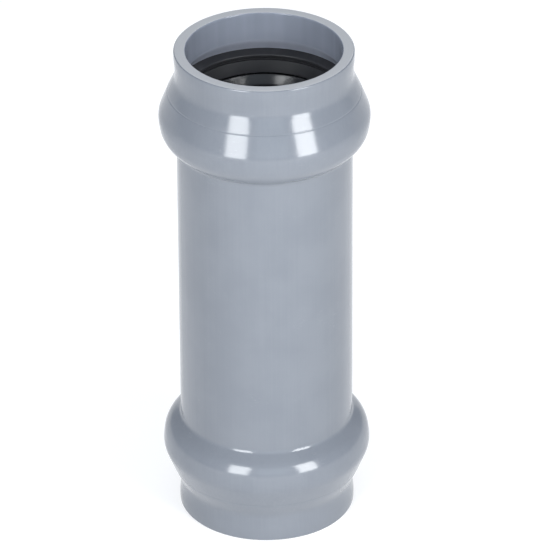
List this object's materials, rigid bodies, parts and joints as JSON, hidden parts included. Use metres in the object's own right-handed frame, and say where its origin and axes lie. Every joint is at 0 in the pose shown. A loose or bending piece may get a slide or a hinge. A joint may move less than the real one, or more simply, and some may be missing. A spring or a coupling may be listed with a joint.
{
  "type": "push fit coupling",
  "caption": "Grey plastic pipe coupling with a formed ring-seal socket at each end, and a black lip seal with its stiffener ring in each socket.",
  "frame": {"origin": "centre of the lower mouth's end face, on which the coupling stands", "axes": "+Z along the coupling's axis from the lower mouth to the upper mouth; X and Y are any two square directions, because everything is round about Z"},
  "size_m": [0.0864, 0.0864, 0.213],
  "materials": {
    "pipe_plastic": "grey extruded and formed pipe plastic, smooth and softly glossy",
    "seal_rubber": "black moulded rubber, satin on the lips",
    "stiffener_plastic": "black moulded plastic, satin"
  },
  "bodies": {
    "coupling": {"coupling_body": "pipe_plastic"},
    "upper_seal": {"upper_sealing_ring": "seal_rubber", "upper_stiffener_ring": "stiffener_plastic"},
    "lower_seal": {"lower_sealing_ring": "seal_rubber", "lower_stiffener_ring": "stiffener_plastic"}
  },
  "joints": [
    {"name": "upper_seal_turn", "type": "hinge", "parent": "coupling", "child": "upper_seal", "pos_m": [0, 0, 0.1844], "axis": [0, 0, 1], "continuous": true},
    {"name": "lower_seal_turn", "type": "hinge", "parent": "coupling", "child": "lower_seal", "pos_m": [0, 0, 0.0286], "axis": [0, 0, 1], "continuous": true}
  ]
}
